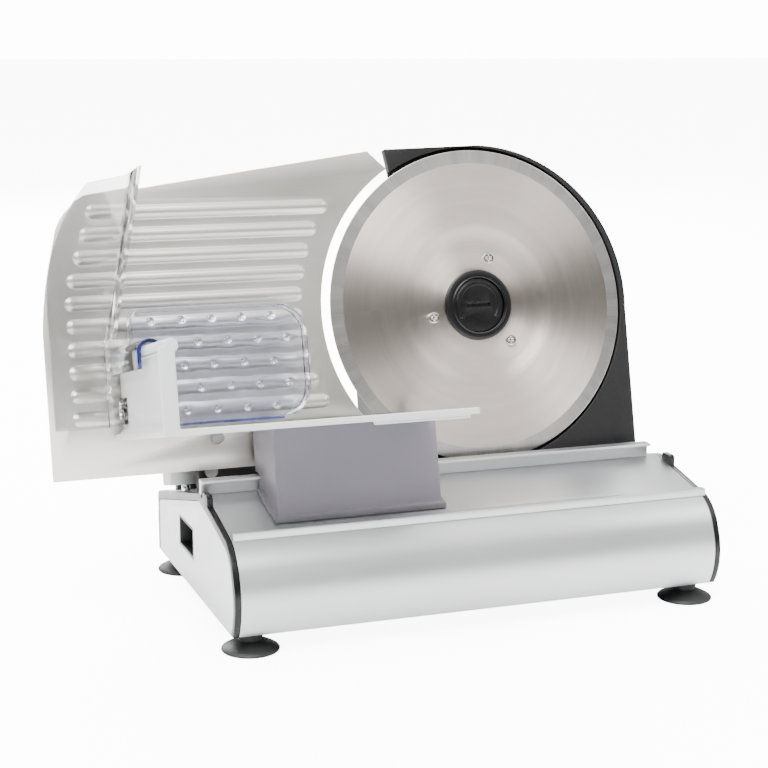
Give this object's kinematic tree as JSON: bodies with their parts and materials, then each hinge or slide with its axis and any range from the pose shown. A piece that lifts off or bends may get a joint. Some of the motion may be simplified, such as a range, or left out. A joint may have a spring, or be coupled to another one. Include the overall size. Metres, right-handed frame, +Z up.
{
  "type": "deli meat slicer",
  "caption": "Electric deli meat slicer with a leaning round blade, sliding food carriage, clear pusher and guard, and adjustable thickness plate on suction feet.",
  "frame": {"origin": "centre of the overall footprint, on the table", "axes": "+X along the base towards the blade end, +Y away from the operator, +Z up"},
  "size_m": [0.3818, 0.2354, 0.2662],
  "materials": {
    "satin_aluminium": "satin anodised",
    "cast_aluminium": "cast and painted silver",
    "plate_aluminium": "fine brushed",
    "blade_steel": "circular brushed",
    "bright_steel": "polished",
    "zinc_steel": "zinc plated",
    "black_textured_plastic": "fine spark texture",
    "black_gloss_plastic": "moulded, smooth",
    "grey_plastic": "moulded, semi-gloss",
    "tray_plastic": "light grey, satin",
    "clear_plastic": "clear",
    "black_rubber": "moulded",
    "white_nylon": "machined",
    "bronze": "sintered",
    "copper": "enamelled wire",
    "carbon": "carbon"
  },
  "bodies": {
    "base": {"base_extrusion": "satin_aluminium", "rear_rail": "satin_aluminium", "front_rail": "satin_aluminium", "left_face_plate": "satin_aluminium", "right_face_plate": "satin_aluminium", "left_end_cap": "black_gloss_plastic", "right_end_cap": "black_gloss_plastic", "bottom_cover": "zinc_steel", "cover_screws": "zinc_steel", "foot_studs": "zinc_steel", "front_left_foot": "black_rubber", "rear_left_foot": "black_rubber", "front_right_foot": "black_rubber", "rear_right_foot": "black_rubber", "cord_bush": "black_rubber", "switch_bezel": "black_gloss_plastic", "switch_body": "black_gloss_plastic", "gear_housing": "black_textured_plastic", "motor_cover": "black_textured_plastic", "spindle_bearer": "cast_aluminium", "housing_screws": "zinc_steel", "spindle": "bright_steel", "stator": "zinc_steel", "field_coils": "copper", "inner_bracket": "zinc_steel", "outer_bracket": "zinc_steel", "motor_bearings": "bronze", "worm_pillow": "cast_aluminium", "brushes": "carbon", "guide_rods": "bright_steel", "front_rod_block": "black_textured_plastic", "rear_rod_block": "black_textured_plastic", "block_screws": "zinc_steel"},
    "blade_set": {"blade": "blade_steel", "blade_screws": "bright_steel", "drive_gear": "white_nylon", "hub_ring": "black_gloss_plastic", "spindle_bush": "bronze"},
    "lock": {"blade_lock": "black_gloss_plastic"},
    "motor_rotor": {"worm": "bright_steel", "armature": "zinc_steel", "motor_shaft": "bright_steel", "cooling_fan": "black_gloss_plastic"},
    "plate_slide": {"thickness_plate": "plate_aluminium", "plate_arm": "cast_aluminium", "slide_bushes": "bronze", "plate_screws": "zinc_steel", "glide_stud": "bright_steel", "slide_springs": "bright_steel"},
    "knob": {"adjusting_screw": "bright_steel", "thickness_knob": "black_gloss_plastic"},
    "rocker": {"power_rocker": "black_gloss_plastic"},
    "carriage": {"carriage_foot": "grey_plastic", "glide_pads": "white_nylon", "carriage_tray": "tray_plastic", "tray_screws": "zinc_steel", "thumb_guard": "clear_plastic", "guard_screws": "bright_steel"},
    "pusher": {"pusher_plate": "clear_plastic", "pusher_saddle": "clear_plastic"}
  },
  "joints": [
    {"name": "blade_spin", "type": "hinge", "parent": "base", "child": "blade_set", "pos_m": [0.07345, 0.02393, 0.171], "axis": [0, 0.9734, -0.2292], "continuous": true},
    {"name": "motor_spin", "type": "hinge", "parent": "base", "child": "motor_rotor", "pos_m": [0.07345, 0.04151, 0.1082], "axis": [1, 0, 0], "continuous": true},
    {"name": "lock_turn", "type": "hinge", "parent": "blade_set", "child": "lock", "pos_m": [0.07345, 0.02393, 0.171], "axis": [0, 0.9734, -0.2292], "range_deg": [0, 90]},
    {"name": "plate_adjust", "type": "slide", "parent": "base", "child": "plate_slide", "axis": [0, 0.9734, -0.2292], "range_m": [0, 0.015], "deforming": ["slide_springs"]},
    {"name": "knob_turn", "type": "hinge", "parent": "base", "child": "knob", "pos_m": [-0.07155, 0.09452, 0.07373], "axis": [0, 0.9734, -0.2292], "range_deg": [0, 270]},
    {"name": "rocker_press", "type": "hinge", "parent": "base", "child": "rocker", "pos_m": [-0.09925, 0.03143, 0.04], "axis": [0, 0, 1], "range_deg": [0, 24]},
    {"name": "carriage_stroke", "type": "slide", "parent": "base", "child": "carriage", "axis": [1, 0, 0], "range_m": [-0.026, 0.156]},
    {"name": "pusher_stroke", "type": "slide", "parent": "carriage", "child": "pusher", "axis": [0, -0.9734, 0.2292], "range_m": [0, 0.044]}
  ],
  "couplings": [
    {"joint": "motor_spin", "follows": "blade_spin", "ratio": 30},
    {"joint": "knob_turn", "follows": "plate_adjust", "rad_per_m": 314.16}
  ]
}
